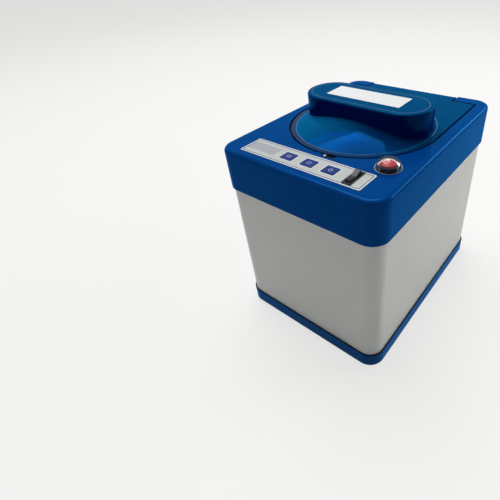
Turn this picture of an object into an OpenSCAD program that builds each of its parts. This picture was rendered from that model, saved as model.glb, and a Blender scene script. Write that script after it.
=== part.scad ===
// Disc repair machine: a bench box with a swing-up lid, a belt-driven turntable below it
// and two geared polishing pads hanging from the lid.
// Millimetres, +Z up, origin at the bottom centre of the feet, front of the machine at -Y.

/* [Case] */
// width of the top cover, left to right
body_w = 220; // [216:1:232]
// depth of the top cover, front to back
body_d = 291; // [288:1:300]
// height from the underside of the base tray to the cover's top
case_h = 249; // [246:1:262]
// height of the rubber feet under the base tray
foot_h = 3; // [3:0.5:6]
// height of the base tray's visible band
base_h = 19; // [16:1:24]
// height of the top cover's skirt
cover_h = 52; // [50:1:58]
// corner radius of the top cover seen from above
cover_r = 21; // [19:1:24]
// rounding of the top cover's upper edge
cover_edge = 5; // [3:0.5:6]
// wall of the moulded top cover
cover_wall = 2.25; // [2:0.05:3]
// thickness of the cover's and the lid's top plates
plate_t = 3.5; // [3:0.25:4.5]
// how far the cover stands out past the sleeve
cover_over = 2.5; // [2.5:0.1:3]
// how far the base tray stands out past the sleeve
base_over = 2; // [1.8:0.1:2.2]
// sheet thickness of the metal sleeve
sheet_t = 1.2; // [1:0.1:1.6]
// outside corner radius of the metal sleeve
sleeve_r = 18.5; // [16:0.5:20]
// how far the sleeve reaches up inside the cover
sleeve_up = 14; // [8:1:20]

/* [Lid] */
// radius of the lid's round front
lid_r = 93; // [91:0.5:94]
// distance of the lid circle's centre and the turntable axis behind the case centre
lid_cy = 2; // [0:0.5:4]
// position of the lid's straight rear edge
lid_back = 122; // [121:0.5:123]
// gap between the lid and the cover all round
lid_gap = 2.5; // [2:0.1:3]
// width of the hinge tab at the back of the lid
tab_w = 133; // [120:1:136]
// sideways position of the hinge tab's centre
tab_x = -5; // [-6:0.5:0]
// radius of the dome's foot
dome_r = 86; // [85:0.5:88]
// rise of the clear dome above the cover
dome_rise = 14.5; // [12:0.5:16]
// thickness of the dome's shell
dome_t = 2.5; // [2:0.1:3]
// length of the gear housing on the lid
pod_l = 169; // [166:1:170]
// width of the gear housing on the lid
pod_w = 67; // [66:0.5:70]
// height of the gear housing above the cover
pod_h = 31.5; // [31:0.5:36]
// position of the gear housing's centre behind the case centre
pod_cy = 6.4; // [4:0.2:7]
// wall of the gear housing
pod_wall = 2.2; // [2:0.1:2.6]
// rounding of the gear housing's upper edge
pod_edge = 2.5; // [1.5:0.5:3]

/* [Hinge] */
// radius of the hinge barrel on the lid
barrel_r = 8; // [7:0.5:8]
// position of the hinge axis behind the case centre
hinge_y = 137; // [136:0.5:137]
// radius of the steel hinge pin
hinge_pin_r = 2.5; // [2:0.1:3]

/* [Disc drive] */
// radius of the turntable platter, just inside a 120 mm disc
platter_r = 59; // [55:1:59]
// radius of the hub pin that takes a disc's 15 mm centre hole
hub_r = 7.45; // [7.3:0.05:7.5]
// length of the hub pin above the rubber mat
hub_l = 4; // [3:0.5:5]
// inner radius of the splash bowl
bowl_r = 76; // [74:0.5:77]
// bore radius of the spindle bearings
bearing_bore_r = 4; // [4:0.5:4]
// outer radius of the spindle bearings
bearing_r = 11; // [11:0.5:11]
// width of the spindle bearings
bearing_w = 7; // [7:0.5:7]
// distance from the turntable axis back to the disc motor's axis
drive_c = 106; // [104:1:108]
// belt-line radius of the driven pulley
pulley_r = 30; // [28:1:32]
// belt-line radius of the motor pulley
motor_pulley_r = 8; // [7.5:0.5:9]

/* [Pad drive] */
// gear module of the pad train
gear_m = 0.8; // [0.8:0.01:0.82]
// face width of the pad train's gears
gear_w = 5; // [4:0.5:5.5]
// radius of the polishing pads
pad_r = 22; // [20:0.5:22]
// thickness of the polishing pads
pad_t = 8; // [6:0.5:9]
// radius of the pad shafts
pad_shaft_r = 3; // [2.5:0.1:3.5]

/* [Controls] */
// width of the control panel overlay
panel_w = 161.5; // [158:0.5:164]
// depth of the control panel overlay
panel_d = 32; // [31:0.5:34]
// position of the control panel's centre
panel_y = -118; // [-119:0.5:-117]
// width of a key
key_w = 16; // [14:0.5:18]
// depth of a key
key_d = 14; // [12:0.5:15]
// radius of the start button's cap
button_r = 8; // [7:0.25:8.5]
// length of the power switch's frame, front to back
switch_l = 27; // [26:0.5:28]
// width of the power switch's frame
switch_w = 10.5; // [10:0.25:11]
// width of the power switch's rocker
rocker_w = 6; // [5.5:0.25:7]
// radius of the rocker's ends about its pivot
rocker_r = 10.6; // [10:0.1:11]

/* [Hidden] */
$fn = 64;
z_top = foot_h + case_h;
z_base = foot_h;
z_floor = foot_h + 2.5;
z_cov = z_top - cover_h;
sleeve_w = body_w - 2 * cover_over;
sleeve_d = body_d - 2 * cover_over;
sleeve_in_y = sleeve_d / 2 - sheet_t;
z_sleeve_top = z_cov + sleeve_up;
z_plate = z_top - plate_t;
ledge_top = z_plate - 1;
ledge_bot = ledge_top - 3;
deck_top = z_top - 85;
deck_t = 3;
bowl_floor = z_top - 47;
mat_top = z_top - 30;
bowl_wall = 2.5;
well = lid_gap + 2.5;
post_x = body_w / 2 - 16;
post_y = body_d / 2 - 17.5;
dome_R = (dome_r * dome_r + dome_rise * dome_rise) / (2 * dome_rise);
dome_zc = z_top + dome_rise - dome_R;
hinge_z = z_top - 0.3 - barrel_r;
slot_x0 = tab_x - tab_w / 2 - lid_gap;
slot_x1 = tab_x + tab_w / 2 + lid_gap;
run_fit = 0.05;
seat_fit = 0.02;
spindle_r = bearing_bore_r - 0.03;
pinion_n = 16;
idler_n = 20;
pad_n = 36;
idler_x = gear_m * (pinion_n + idler_n) / 2;
pad_x = idler_x + gear_m * (idler_n + pad_n) / 2;
gear_z = z_top + 1.5;
low_plate_z = z_top - 3.2;
up_plate_z = z_top + 8;
pad_bot = mat_top + 1.3;
holder_z = pad_bot + pad_t;
belt_z = deck_top - deck_t - 10;
belt_t = 1.2;
motor_y = lid_cy + drive_c;
overlay_t = 0.5;
board_z = z_top - 11.6;
key_x = [-20.5, 7.7, 35.7];
switch_x = 63.25;
switch_y = -117.5;
button_x = 81;
button_y = -82;
inlet_x = 58;
inlet_z = 40;
fan_x = -55;
fan_z = 95;
supply_y = sleeve_d / 2 - 139;
tank_x = -50;
tank_y = -67;
drain_x = -66 * cos(45);
drain_y = lid_cy - 66 * sin(45);
feed_r = 90;
blue = [0.02, 0.24, 0.5];
steel = [0.72, 0.73, 0.72];
black = [0.07, 0.07, 0.08];

// round bar from z0 to z1 at x, y
module rod(x, y, z0, z1, r) {
    translate([x, y, z0])
        cylinder(h = z1 - z0, r = r);
}

// round bar along the Y axis
module rod_y(x, z, y0, y1, r) {
    translate([x, y1, z])
        rotate([90, 0, 0])
            cylinder(h = y1 - y0, r = r);
}

// box with rounded upright corners, standing on z = 0
module rbox(w, d, r, h) {
    translate([-w / 2 + r, -d / 2, 0])
        cube([w - 2 * r, d, h]);
    translate([-w / 2, -d / 2 + r, 0])
        cube([w, d - 2 * r, h]);
    for (k = [0:3])
        translate([(k == 0 || k == 3 ? 1 : -1) * (w / 2 - r), (k < 2 ? 1 : -1) * (d / 2 - r), 0])
            rotate([0, 0, 90 * k])
                rotate_extrude(angle = 90)
                    square([r, h]);
}

// half profile of a wall with a rounded upper edge
module soft_half(w, h, f) {
    square([w - f, h]);
    square([w, h - f]);
    translate([w - f, h - f])
        intersection() {
            circle(r = f);
            square([f, f]);
        }
}

// box with rounded upright corners and a rounded upper edge
module soft_box(w, d, r, h, f) {
    for (k = [0:3])
        translate([(k == 0 || k == 3 ? 1 : -1) * (w / 2 - r), (k < 2 ? 1 : -1) * (d / 2 - r), 0])
            rotate([0, 0, 90 * k])
                rotate_extrude(angle = 90)
                    soft_half(r, h, f);
    for (s = [0, 180])
        rotate([0, 0, s]) {
            translate([0, d / 2 - r, 0])
                rotate([90, 0, 0])
                    linear_extrude(height = d - 2 * r)
                        soft_half(w / 2, h, f);
            translate([w / 2 - r, 0, 0])
                rotate([90, 0, -90])
                    linear_extrude(height = w - 2 * r)
                        mirror([1, 0])
                            soft_half(d / 2, h, f);
        }
}

// long box with half-round ends, standing on z = 0
module obround(l, w, h) {
    translate([-(l - w) / 2, -w / 2, 0])
        cube([l - w, w, h]);
    for (s = [0, 180])
        rotate([0, 0, s])
            translate([(l - w) / 2, 0, 0])
                rotate([0, 0, -90])
                    rotate_extrude(angle = 180)
                        square([w / 2, h]);
}

// obround with a rounded upper edge
module soft_obround(l, w, h, f) {
    for (s = [0, 180])
        rotate([0, 0, s]) {
            translate([(l - w) / 2, 0, 0])
                rotate([0, 0, -90])
                    rotate_extrude(angle = 180)
                        soft_half(w / 2, h, f);
            translate([(l - w) / 2, 0, 0])
                rotate([90, 0, -90])
                    linear_extrude(height = l - w)
                        soft_half(w / 2, h, f);
        }
}

// plan of the lid without its hinge tab, grown by g, from z0 to z1
module lid_plan(g, z0, z1) {
    translate([0, lid_cy, z0]) {
        rotate([0, 0, 180])
            rotate_extrude(angle = 180)
                square([lid_r + g, z1 - z0]);
        translate([-lid_r - g, 0, 0])
            cube([2 * (lid_r + g), lid_back + g - lid_cy, z1 - z0]);
    }
}

// spherical cap of radius rr above z0, cut to a cylinder of radius cr
module cap(cx, cy, zc, rr, cr, z0, z1) {
    intersection() {
        translate([cx, cy, zc])
            sphere(r = rr);
        rod(cx, cy, z0, z1, cr);
    }
}

// the four corner positions of the tie screws
module corners() {
    for (x = [-1, 1], y = [-1, 1])
        translate([x * post_x, y * post_y, 0])
            children();
}

module base_tray() color(blue) {
    difference() {
        translate([0, 0, z_base])
            rbox(sleeve_w + 2 * base_over, sleeve_d + 2 * base_over, sleeve_r + base_over, base_h);
        translate([0, 0, z_floor])
            rbox(sleeve_w + 0.8, sleeve_d + 0.8, sleeve_r + 0.4, base_h);
        corners()
            translate([0, 0, z_base - 1])
                cylinder(h = 6, r = 2.3);
        for (i = [-3:3])
            translate([i * 9 + 52, -8, z_base - 1])
                cube([4, 60, 6], center = true);
    }
    translate([0, 0, z_floor])
        difference() {
            rbox(sleeve_w - 2 * sheet_t - 0.8, sleeve_d - 2 * sheet_t - 0.8, sleeve_r - 2, 8);
            translate([0, 0, -1])
                rbox(sleeve_w - 2 * sheet_t - 4.8, sleeve_d - 2 * sheet_t - 4.8, sleeve_r - 4, 12);
        }
}

module rubber_feet() color(black)
    corners()
        difference() {
            cylinder(h = foot_h, r = 10);
            translate([0, 0, -1])
                cylinder(h = foot_h, r = 4.5);
            cylinder(h = foot_h + 1, r = 2.3);
        }

module tie_screws() color(steel)
    corners() {
        translate([0, 0, foot_h - 2.6])
            cylinder(h = 1.6, r = 4);
        translate([0, 0, foot_h - 2])
            cylinder(h = z_plate - 14 - foot_h, r = 2);
    }

module case_sleeve() color(steel)
    difference() {
        translate([0, 0, z_floor])
            rbox(sleeve_w, sleeve_d, sleeve_r, z_sleeve_top - z_floor);
        translate([0, 0, z_floor - 1])
            rbox(sleeve_w - 2 * sheet_t, sleeve_d - 2 * sheet_t, sleeve_r - sheet_t, case_h);
        translate([inlet_x - 14.2, sleeve_d / 2 - 3, inlet_z - 10.4])
            cube([28.4, 6, 20.8]);
        for (i = [-3:3])
            translate([fan_x + i * 5 - 1.5, sleeve_d / 2 - 3, fan_z - sqrt(300 - 25 * i * i)])
                cube([3, 6, 2 * sqrt(300 - 25 * i * i)]);
        for (x = [-16, 16], z = [-16, 16])
            rod_y(fan_x + x, fan_z + z, sleeve_d / 2 - 3, sleeve_d / 2 + 3, 1.8);
        for (x = [-20, 20])
            rod_y(inlet_x + x, inlet_z, sleeve_d / 2 - 3, sleeve_d / 2 + 3, 1.8);
    }

module top_cover() color(blue)
    difference() {
        union() {
            difference() {
                translate([0, 0, z_cov])
                    soft_box(body_w, body_d, cover_r, cover_h, cover_edge);
                translate([0, 0, z_cov - 1])
                    rbox(body_w - 2 * cover_wall, body_d - 2 * cover_wall, cover_r - cover_wall,
                        cover_h - plate_t + 1);
            }
            lid_plan(well, ledge_bot, z_top - 1);
            translate([slot_x0 - 9, lid_back + 1, hinge_z - barrel_r - 4])
                cube([slot_x1 - slot_x0 + 18, body_d / 2 - lid_back - 2, barrel_r * 2 + 2]);
            translate([5, -100, ledge_bot])
                cube([20, 10, z_top - 1 - ledge_bot]);
            corners()
                translate([0, 0, deck_top])
                    cylinder(h = z_top - 1 - deck_top, r = 5);
            for (x = [-76, 46], y = [-13, 13])
                rod(x, panel_y + y, board_z + 1.6, z_top - 1, 2.5);
        }
        lid_plan(lid_gap, ledge_top, z_top + 1);
        rod(0, lid_cy, ledge_bot - 1, ledge_top + 1, bowl_r);
        translate([slot_x0, lid_back, ledge_top])
            cube([slot_x1 - slot_x0, 6, 10]);
        translate([slot_x0, lid_back + 5, hinge_z - barrel_r - 1.2])
            cube([slot_x1 - slot_x0, 30, 30]);
        translate([slot_x0 - 7, hinge_y, hinge_z])
            rotate([0, 90, 0])
                cylinder(h = slot_x1 - slot_x0 + 14, r = hinge_pin_r + seat_fit);
        corners()
            translate([0, 0, deck_top - 1])
                cylinder(h = z_plate - 10 - deck_top, r = 2.3);
        translate([7, -97.5, ledge_top])
            cube([16, 6.5, 10]);
        rod(button_x, button_y, z_plate - 3, z_top + 1, 9.3);
        translate([switch_x, switch_y, z_plate - 3])
            translate([-4.85, -13.1, 0])
                cube([9.7, 26.2, 12]);
        translate([-57.75, panel_y, z_plate - 3])
            translate([-20.25, -7.5, 0])
                cube([40.5, 15, 12]);
        for (x = key_x)
            translate([x, panel_y, z_plate - 3])
                rbox(key_w + 0.6, key_d + 0.6, 3.3, 12);
        for (x = [-76, 46], y = [-13, 13])
            rod(x, panel_y + y, board_z + 1, board_z + 6.5, 1.55);
    }

module chassis_plate() color([0.6, 0.62, 0.63])
    difference() {
        translate([0, 0, deck_top - deck_t])
            rbox(sleeve_w - 2 * sheet_t - 1, sleeve_d - 2 * sheet_t - 1, sleeve_r - 2, deck_t);
        rod(0, lid_cy, deck_top - deck_t - 1, deck_top + 1, bearing_r - 1);
        rod(0, motor_y, deck_top - deck_t - 1, deck_top + 1, 8);
        rod(drain_x, drain_y, deck_top - deck_t - 1, deck_top + 1, 8);
        rod(feed_r * cos(45), lid_cy - feed_r * sin(45), deck_top - deck_t - 1, deck_top + 1, 5);
        corners()
            translate([0, 0, deck_top - deck_t - 1])
                cylinder(h = deck_t + 2, r = 2.3);
        for (a = [45:90:315]) {
            rod(19 * cos(a), lid_cy + 19 * sin(a), deck_top - deck_t - 1, deck_top + 1, 1.7);
            rod(14 * cos(a), motor_y + 14 * sin(a), deck_top - deck_t - 1, deck_top + 1, 1.7);
        }
    }

module chassis_pillars() color(steel)
    corners()
        difference() {
            translate([0, 0, z_floor])
                cylinder(h = deck_top - deck_t - z_floor, r = 5);
            translate([0, 0, z_floor - 1])
                cylinder(h = deck_top, r = 2.3);
        }

module splash_bowl() color([0.05, 0.36, 0.72])
    difference() {
        union() {
            rod(0, lid_cy, bowl_floor - 3, ledge_bot - 1, bowl_r + bowl_wall);
            rod(0, lid_cy, ledge_bot - 2, ledge_bot, bowl_r + 10);
            rod(drain_x, drain_y, bowl_floor - 13, bowl_floor - 1, 5);
        }
        difference() {
            rod(0, lid_cy, bowl_floor, ledge_bot + 1, bowl_r);
            rod(0, lid_cy, bowl_floor - 1, bowl_floor + 8, 17);
        }
        rod(0, lid_cy, bowl_floor - 4, bowl_floor + 9, 14.5);
        rod(drain_x, drain_y, bowl_floor - 14, bowl_floor + 1, 3.5);
        translate([0, lid_cy, bowl_floor + 28])
            rotate([0, 0, -45])
                rotate([0, 90, 0])
                    cylinder(h = bowl_r + 6, r = 4.05);
    }

module lid_seal() color(black)
    difference() {
        rod(0, lid_cy, ledge_top, ledge_top + 0.8, 82);
        rod(0, lid_cy, ledge_top - 1, ledge_top + 2, 79);
    }

module spindle_housing() color([0.66, 0.67, 0.69])
    difference() {
        union() {
            rod(0, lid_cy, deck_top, deck_top + 30, bearing_r + 2);
            rod(0, lid_cy, deck_top, deck_top + 4, 24);
        }
        rod(0, lid_cy, deck_top - 1, deck_top + 31, 9.5);
        rod(0, lid_cy, deck_top - 1, deck_top + 2 + bearing_w, bearing_r + seat_fit);
        rod(0, lid_cy, deck_top + 28 - bearing_w, deck_top + 31, bearing_r + seat_fit);
        for (a = [45:90:315])
            rod(19 * cos(a), lid_cy + 19 * sin(a), deck_top - 1, deck_top + 5, 1.7);
    }

module spindle_bearings() color(steel)
    for (z = [deck_top + 2, deck_top + 28 - bearing_w])
        translate([0, lid_cy, z])
            difference() {
                cylinder(h = bearing_w, r = bearing_r);
                translate([0, 0, -1])
                    cylinder(h = bearing_w + 2, r = bearing_bore_r);
                for (s = [-0.1, bearing_w - 0.4])
                    translate([0, 0, s])
                        difference() {
                            cylinder(h = 0.5, r = 9.2);
                            translate([0, 0, -1])
                                cylinder(h = 3, r = 6);
                        }
            }

module disc_motor() color([0.5, 0.51, 0.53])
    difference() {
        union() {
            rod(0, motor_y, deck_top, deck_top + 52, 21);
            rod(0, motor_y, deck_top + 52, deck_top + 55, 9);
        }
        rod(0, motor_y, deck_top - 1, deck_top + 9, 2.5 + run_fit);
        for (a = [45:90:315])
            rod(14 * cos(a), motor_y + 14 * sin(a), deck_top - 1, deck_top + 4, 1.55);
    }

// one small screw with its head on top of z = 0
module screw(l) {
    cylinder(h = 1.7, r = 2.8);
    translate([0, 0, -l])
        cylinder(h = l + 0.5, r = 1.5);
}

module panel_screws() color(steel) {
    for (a = [45:90:315]) {
        translate([19 * cos(a), lid_cy + 19 * sin(a), deck_top + 4])
            screw(7);
        translate([14 * cos(a), motor_y + 14 * sin(a), deck_top - deck_t])
            rotate([180, 0, 0])
                screw(6.5);
    }
    for (x = [-16, 16], z = [-16, 16])
        translate([fan_x + x, sleeve_d / 2, fan_z + z])
            rotate([-90, 0, 0])
                screw(9);
    for (x = [-20, 20])
        translate([inlet_x + x, sleeve_d / 2 + 0.3, inlet_z])
            rotate([-90, 0, 0])
                screw(5);
    for (x = [-76, 46], y = [-13, 13])
        translate([x, panel_y + y, board_z])
            rotate([180, 0, 0])
                screw(6);
    translate([10.5, -95, z_top - 0.8]) {
        cylinder(h = 1, r = 1.6);
        translate([0, 0, -3])
            cylinder(h = 3.5, r = 1);
    }
}

module belt_solid(g, h) {
    hull() {
        translate([0, lid_cy, 0])
            cylinder(h = h, r = pulley_r + g, $fn = 56);
        translate([0, motor_y, 0])
            cylinder(h = h, r = motor_pulley_r + g, $fn = 28);
    }
}

module drive_belt() color(black)
    difference() {
        translate([0, 0, belt_z])
            belt_solid(belt_t / 2, 6);
        translate([0, 0, belt_z - 1])
            belt_solid(-belt_t / 2, 8);
    }

module water_tank() color([0.86, 0.88, 0.88])
    difference() {
        union() {
            translate([tank_x, tank_y, z_floor])
                rbox(72, 106, 8, 104);
            rod(drain_x, drain_y, z_floor + 100, z_floor + 116, 5);
            rod(tank_x - 12, tank_y - 28, z_floor + 100, z_floor + 112, 16);
        }
        translate([tank_x, tank_y, z_floor + 2.2])
            rbox(67.6, 101.6, 6, 99.6);
        rod(drain_x, drain_y, z_floor + 90, z_floor + 120, 3.5);
        rod(tank_x - 12, tank_y - 28, z_floor + 90, z_floor + 110, 13);
    }

module water_pump() color([0.2, 0.21, 0.23])
    translate([feed_r * cos(45), lid_cy - feed_r * sin(45), z_floor]) {
        translate([0, 0, 0])
            cylinder(h = 16, r = 17);
        translate([0, 0, 16])
            cylinder(h = 38, r = 13);
        translate([0, 0, 54])
            cylinder(h = 4, r = 2);
        translate([-24, 0, 8])
            rotate([0, 90, 0])
                cylinder(h = 10, r = 2);
        translate([0, -22, 1.5])
            cube([24, 12, 3], center = true);
    }

module water_tubes() color([0.78, 0.84, 0.86]) {
    translate([feed_r * cos(45), lid_cy - feed_r * sin(45), 0])
        difference() {
            rod(0, 0, z_floor + 54.3, bowl_floor + 23, 3);
            rod(0, 0, z_floor + 53, bowl_floor + 24, 2.1);
        }
    difference() {
        rod(drain_x, drain_y, z_floor + 105, bowl_floor - 4, 6.5);
        rod(drain_x, drain_y, z_floor + 104, bowl_floor - 3, 5.1);
    }
    translate([tank_x + 36.3, lid_cy - feed_r * sin(45), z_floor + 8])
        rotate([0, 90, 0])
            difference() {
                cylinder(h = feed_r * cos(45) - tank_x - 36.3 - 17.3, r = 3);
                translate([0, 0, -1])
                    cylinder(h = 200, r = 2.1);
            }
}

module spray_nozzle() color(steel)
    translate([0, lid_cy, bowl_floor + 28])
        rotate([0, 0, -45])
            difference() {
                union() {
                    rotate([0, 90, 0])
                        translate([0, 0, bowl_r - 4])
                            cylinder(h = feed_r - bowl_r + 8, r = 4);
                    rotate([0, 90, 0])
                        translate([0, 0, bowl_r + bowl_wall + 0.1])
                            cylinder(h = 2, r = 6);
                    translate([feed_r, 0, -10])
                        cylinder(h = 8, r = 2);
                }
                rotate([0, 90, 0])
                    translate([0, 0, bowl_r - 5])
                        cylinder(h = 12, r = 1);
            }

module power_supply() color([0.7, 0.71, 0.7])
    difference() {
        translate([14, supply_y, z_floor])
            cube([70, 108, 40]);
        for (i = [0:8])
            translate([20 + i * 7, supply_y + 16, z_floor + 37])
                cube([3, 70, 4]);
        translate([16, supply_y + 101, z_floor + 4])
            cube([66, 8, 12]);
    }

module mains_inlet() color(black)
    difference() {
        union() {
            translate([inlet_x - 25, sleeve_d / 2, inlet_z - 12])
                cube([50, 2, 24]);
            translate([inlet_x - 13.75, sleeve_d / 2 - 18, inlet_z - 10])
                cube([27.5, 19, 20]);
        }
        translate([inlet_x - 12, sleeve_d / 2 - 15, inlet_z - 8])
            cube([24, 20, 16]);
        for (x = [-20, 20]) {
            rod_y(inlet_x + x, inlet_z, sleeve_d / 2 - 1, sleeve_d / 2 + 3, 1.7);
            rod_y(inlet_x + x, inlet_z, sleeve_d / 2 + 0.3, sleeve_d / 2 + 3, 3);
        }
        for (p = [[-7, -2.5], [0, 2.5], [7, -2.5]])
            translate([inlet_x + p[0] - 2, sleeve_d / 2 - 22, inlet_z + p[1] - 1])
                cube([4, 20, 2]);
    }

module inlet_pins() color([0.8, 0.74, 0.5])
    for (p = [[-7, -2.5], [0, 2.5], [7, -2.5]])
        translate([inlet_x + p[0] - 2, sleeve_d / 2 - 22, inlet_z + p[1] - 1])
            cube([4, 18, 2]);

module fan_frame() color(black)
    translate([fan_x, sleeve_in_y, fan_z])
        rotate([90, 0, 0])
            difference() {
                union() {
                    difference() {
                        translate([0, 0, 0])
                            rbox(40, 40, 3, 10);
                        translate([0, 0, -1])
                            cylinder(h = 12, r = 18.8);
                    }
                    translate([0, 0, 8.7])
                        cylinder(h = 1.3, r = 9);
                    for (a = [20:90:290])
                        rotate([0, 0, a])
                            translate([8, -1, 8.7])
                                cube([11.5, 2, 1.3]);
                    translate([0, 0, 2])
                        cylinder(h = 7, r = 1);
                }
                for (x = [-16, 16], y = [-16, 16])
                    translate([x, y, -1])
                        cylinder(h = 12, r = 1.7);
            }

module fan_rotor() color([0.15, 0.15, 0.16])
    translate([fan_x, sleeve_in_y, fan_z])
        rotate([90, 0, 0])
            difference() {
                union() {
                    translate([0, 0, 0.8])
                        cylinder(h = 7.4, r = 8.5);
                    for (a = [0:360 / 7:359])
                        rotate([0, 0, a])
                            translate([12.5, 0, 4.5])
                                rotate([38, 0, 0])
                                    cube([10, 1.2, 7.6], center = true);
                }
                translate([0, 0, 1.8])
                    cylinder(h = 10, r = 1 + run_fit);
            }

module control_board() color([0.05, 0.33, 0.16])
    difference() {
        translate([-80, panel_y - 15.5, board_z])
            cube([130, 31, 1.6]);
        for (x = [-76, 46], y = [-13, 13])
            rod(x, panel_y + y, board_z - 1, board_z + 3, 1.7);
    }

module display_module() color([0.3, 0.32, 0.34])
    translate([-79, panel_y - 9.3, board_z + 1.6])
        cube([42.5, 18.6, 6.4]);

module display_window() color([0.62, 0.62, 0.68])
    translate([-57.75 - 20.05, panel_y - 7.3, board_z + 8])
        cube([40.1, 14.6, z_top + overlay_t - 0.1 - board_z - 8]);

module panel_overlay() color([0.82, 0.84, 0.84])
    translate([-0.25, panel_y, z_top])
        difference() {
            rbox(panel_w, panel_d, 1.5, overlay_t);
            for (x = key_x)
                translate([x + 0.25, 0, -1])
                    rbox(key_w + 0.6, key_d + 0.6, 3.3, 4);
            translate([-57.5 - 20.25, -7.5, -1])
                cube([40.5, 15, 4]);
            translate([switch_x + 0.25 - 4.85, switch_y - panel_y - 13.1, -1])
                cube([9.7, 26.2, 4]);
        }

module tact_switches() color(black)
    for (x = key_x)
        translate([x, panel_y, board_z + 1.6]) {
            translate([-3, -3, 0])
                cube([6, 6, 3.3]);
            cylinder(h = 4, r = 1.7);
        }

module key_cap(x) {
    translate([x, panel_y, z_plate - 0.3])
        rbox(key_w, key_d, 3, plate_t + overlay_t + 0.7);
    translate([x, panel_y, z_plate - 1.8])
        rbox(key_w + 2.6, key_d + 2.6, 2, 1.5);
}

module key_left() color([0.03, 0.12, 0.42])
    key_cap(key_x[0]);

module key_middle() color([0.03, 0.12, 0.42])
    key_cap(key_x[1]);

module key_right() color([0.03, 0.12, 0.42])
    key_cap(key_x[2]);

module switch_frame() color(black)
    translate([switch_x, switch_y, 0])
        difference() {
            union() {
                translate([-switch_w / 2, -switch_l / 2, z_top + overlay_t])
                    cube([switch_w, switch_l, 1]);
                translate([-4.75, -13, z_top - 20])
                    cube([9.5, 26, 20.8]);
            }
            translate([-rocker_w / 2 - 0.35, -rocker_r - 0.5, z_top - 8.5])
                cube([rocker_w + 0.7, 2 * rocker_r + 1, 14]);
        }

module power_rocker() color([0.1, 0.1, 0.11])
    translate([switch_x, switch_y, z_top - 1])
        rotate([8, 0, 0])
            intersection() {
                translate([-rocker_w / 2, 0, 0])
                    rotate([0, 90, 0])
                        cylinder(h = rocker_w, r = rocker_r);
                translate([-5, 0, 0])
                    rotate([90, 0, 90])
                        linear_extrude(height = 10)
                            polygon([[-12, -4], [12, -4], [12, 6.6], [0, 3.8], [-12, 6.6]]);
            }

module start_switch() color(black)
    difference() {
        union() {
            rod(button_x, button_y, z_top - 26, z_top + 1, 9);
            rod(button_x, button_y, z_top, z_top + 3.5, 11.2);
            rod(button_x, button_y, z_plate - 3.5, z_plate - 0.1, 13);
        }
        rod(button_x, button_y, z_top - 6, z_top + 5, button_r + 0.35);
    }

module start_button() color([0.8, 0.05, 0.1]) {
    rod(button_x, button_y, z_plate, z_top + 5, button_r);
    cap(button_x, button_y, z_top + 7 - 17, 17, button_r, z_top + 4.5, z_top + 8);
}

module start_boot() color([0.85, 0.88, 0.9, 0.4])
    difference() {
        union() {
            rod(button_x, button_y, z_top, z_top + 1, 14);
            rod(button_x, button_y, z_top, z_top + 5.5, 12.6);
            cap(button_x, button_y, z_top + 11.5 - 16.2, 16.2, 12.6, z_top + 5, z_top + 12);
        }
        rod(button_x, button_y, z_top - 1, z_top + 5, 11.5);
        cap(button_x, button_y, z_top + 11.5 - 16.2, 15.1, 11.5, z_top + 4.9, z_top + 12);
    }

module lid_catch() color(black)
    difference() {
        translate([7.3, -97.2, ledge_top])
            cube([15.4, 4.4, z_top - 0.8 - ledge_top]);
        rod(10.5, -95, z_top - 4, z_top, 1);
    }

module hinge_pin() color(steel)
    translate([slot_x0 - 6.5, hinge_y, hinge_z])
        rotate([0, 90, 0])
            cylinder(h = slot_x1 - slot_x0 + 13, r = hinge_pin_r);

module lid_shell() color([0.03, 0.28, 0.55, 0.75])
    difference() {
        union() {
            difference() {
                union() {
                    lid_plan(0, z_plate, z_top);
                    translate([tab_x - tab_w / 2, lid_back - 1, z_plate])
                        cube([tab_w, hinge_y - lid_back + 1, plate_t]);
                    translate([tab_x - tab_w / 2, hinge_y, hinge_z])
                        rotate([0, 90, 0])
                            cylinder(h = tab_w, r = barrel_r);
                    cap(0, lid_cy, dome_zc, dome_R, dome_r, z_plate, z_top + dome_rise + 1);
                }
                cap(0, lid_cy, dome_zc, dome_R - dome_t, dome_r - 2.5, z_plate - 1,
                    z_top + dome_rise + 1);
            }
            difference() {
                translate([0, pod_cy, z_plate])
                    soft_obround(pod_l, pod_w, plate_t + pod_h, pod_edge);
                translate([0, pod_cy, z_plate - 1])
                    obround(pod_l - 2 * pod_wall, pod_w - 2 * pod_wall,
                        plate_t + pod_h + 1 - pod_wall);
            }
            for (x = [-48, 48], y = [-18, 18])
                rod(x, pod_cy + y, up_plate_z + 2, z_top + pod_h - 1, 3.5);
        }
        translate([0, pod_cy, z_plate - 1])
            obround(pod_l - 2 * pod_wall, pod_w - 2 * pod_wall, plate_t + 1 + 10);
        for (x = [-48, 48], y = [-18, 18])
            rod(x, pod_cy + y, up_plate_z + 1, up_plate_z + 14, 1.8);
        rod(0, pod_cy, up_plate_z + 3, z_top + dome_rise + 2, 19.5);
        difference() {
            translate([0, pod_cy, z_top])
                obround(pod_l - 2 * pod_wall, pod_w - 2 * pod_wall, pod_h - pod_wall);
            for (x = [-48, 48], y = [-18, 18])
                rod(x, pod_cy + y, z_top, z_top + pod_h, 3.5);
        }
        translate([tab_x - tab_w / 2 - 1, hinge_y, hinge_z])
            rotate([0, 90, 0])
                cylinder(h = tab_w + 2, r = hinge_pin_r + run_fit);
        rod(20.5, -82.5, z_plate - 1, z_plate + 2, 2.8);
    }

module lid_label() color([0.9, 0.9, 0.91])
    translate([-50.75, pod_cy + 1.2 - 16.25, z_top + pod_h])
        cube([101.5, 32.5, 0.25]);

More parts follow.
